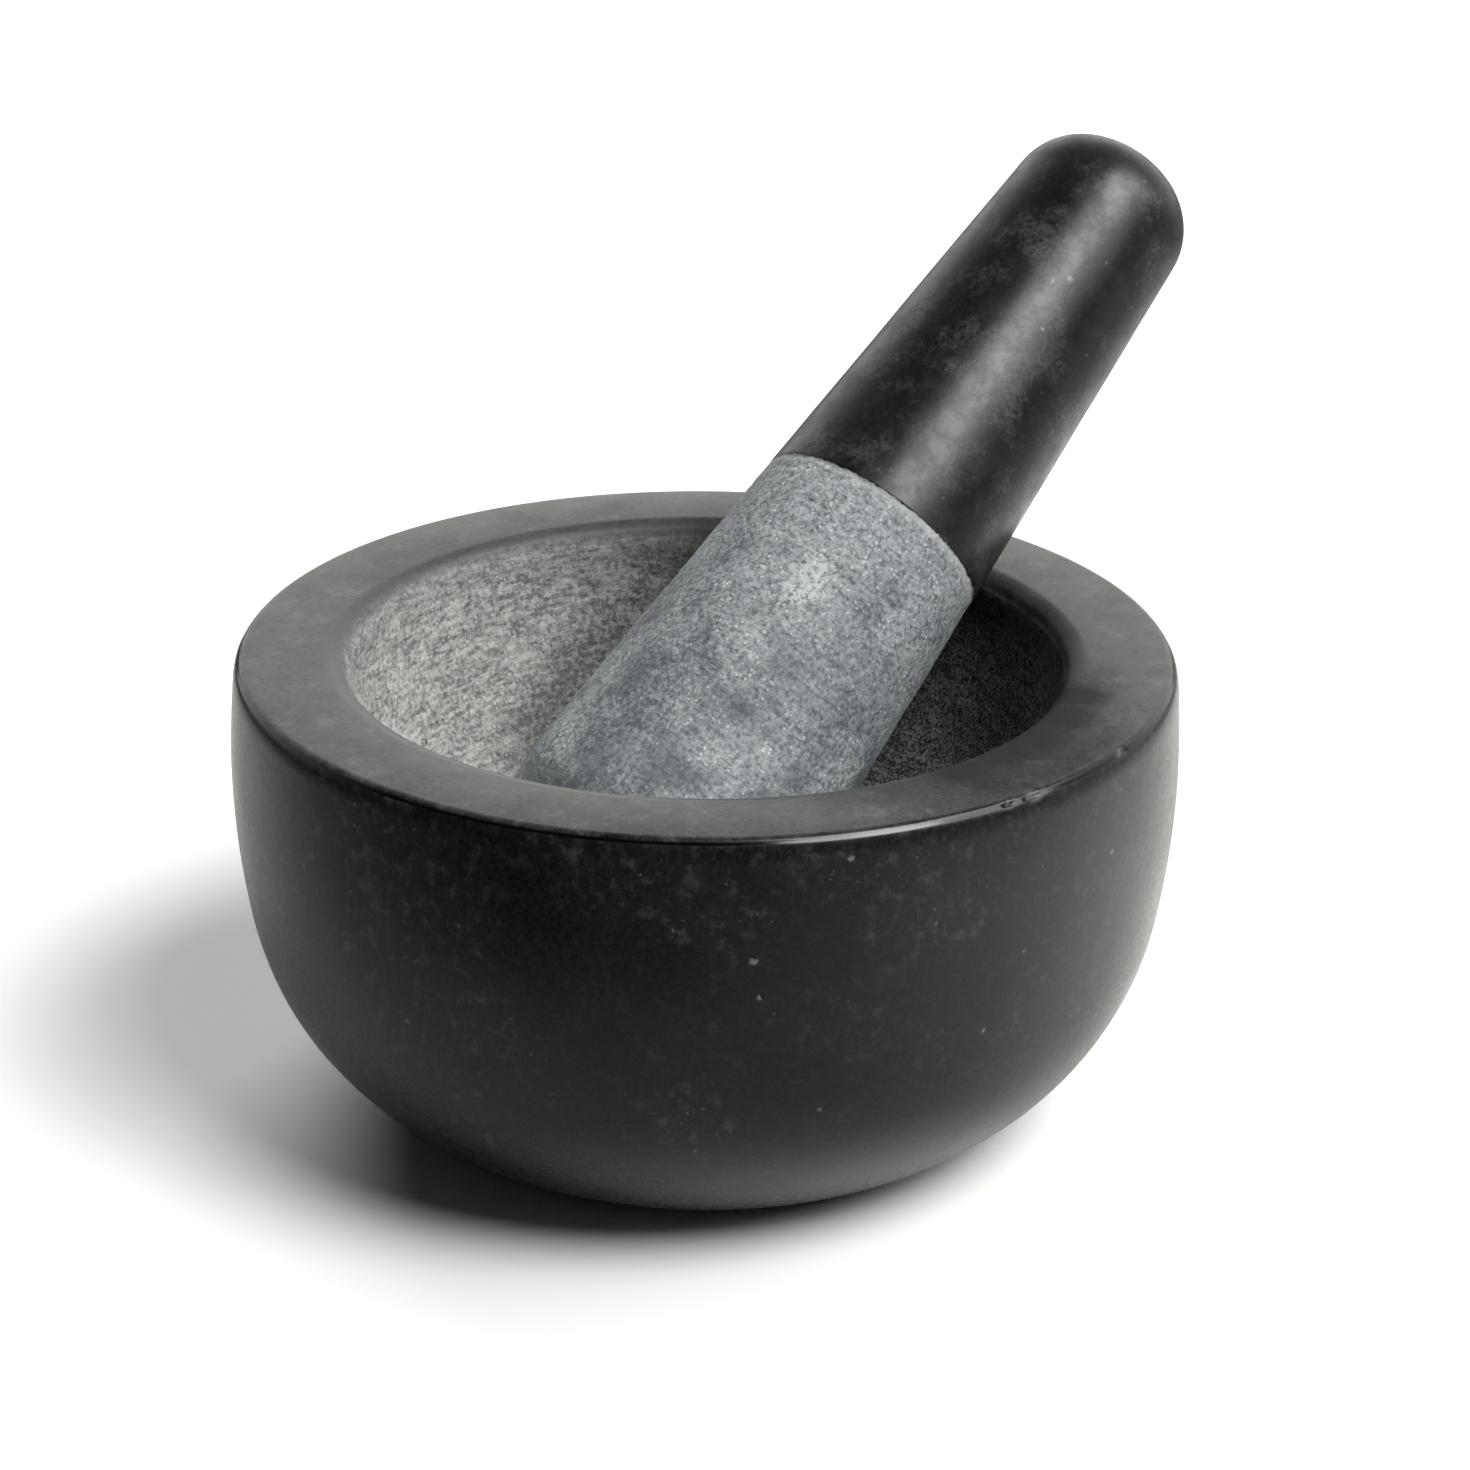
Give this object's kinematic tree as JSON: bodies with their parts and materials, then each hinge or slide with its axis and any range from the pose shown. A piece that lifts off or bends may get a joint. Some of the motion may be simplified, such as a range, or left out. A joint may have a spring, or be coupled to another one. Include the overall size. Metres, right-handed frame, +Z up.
{
  "type": "mortar and pestle",
  "caption": "Turned stone mortar with a flat rim and a ground round hollow, and a tapered stone pestle that leans on its lip and lifts out.",
  "frame": {"origin": "centre of the bowl's flat base, on the surface that it stands on", "axes": "+Z up along the bowl's axis of revolution; the pestle leans towards +X in the XZ plane"},
  "size_m": [0.1693, 0.14, 0.1323],
  "materials": {
    "bowl_stone": "honed outside and on the rim, rough ground in the hollow",
    "pestle_stone": "polished grip, rough ground head"
  },
  "bodies": {
    "bowl": {"bowl": "bowl_stone"},
    "pestle": {"pestle": "pestle_stone"}
  },
  "joints": [
    {"name": "pestle_lift", "type": "slide", "parent": "bowl", "child": "pestle", "axis": [0.7513, 0, 0.66], "range_m": [0, 0.1]}
  ]
}
